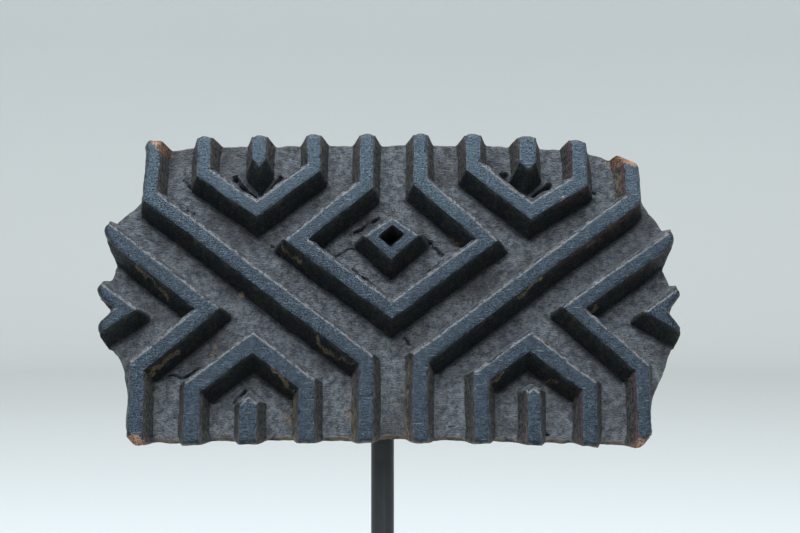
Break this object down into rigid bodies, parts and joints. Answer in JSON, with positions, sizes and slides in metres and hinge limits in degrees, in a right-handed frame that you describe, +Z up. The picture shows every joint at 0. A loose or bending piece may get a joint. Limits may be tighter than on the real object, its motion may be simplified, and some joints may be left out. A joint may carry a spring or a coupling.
{
  "type": "relief-carved wooden block on display post",
  "caption": "Hand-carved wooden relief block of interlocking chevrons and diamonds, leaning back on a steel display post and base.",
  "frame": {"origin": "under the middle of the base, on the post's axis, at the level that the stand rests on", "axes": "+Z up along the post, the carved face looks towards -Y and leans back towards +Y, +X to the right of someone looking at the face"},
  "size_m": [0.1981, 0.09, 0.1878],
  "materials": {
    "carved_wood": "satin",
    "brass_liner": "satin",
    "washer_plastic": "matte",
    "blackened_steel": "satin",
    "fastener_steel": "satin",
    "pad_rubber": "matte"
  },
  "bodies": {
    "stand": {"base_pad": "pad_rubber", "base_plate": "blackened_steel", "lock_washer": "fastener_steel", "base_screw": "fastener_steel", "post": "blackened_steel"},
    "washer": {"support_washer": "washer_plastic"},
    "block": {"carved_block": "carved_wood", "socket_bush": "brass_liner"}
  },
  "joints": [
    {"name": "swivel", "type": "hinge", "parent": "stand", "child": "washer", "pos_m": [0, 0, 0.0835], "axis": [0, 0, 1], "continuous": true},
    {"name": "lift", "type": "slide", "parent": "washer", "child": "block", "axis": [0, 0, 1], "range_m": [0, 0.045]}
  ]
}
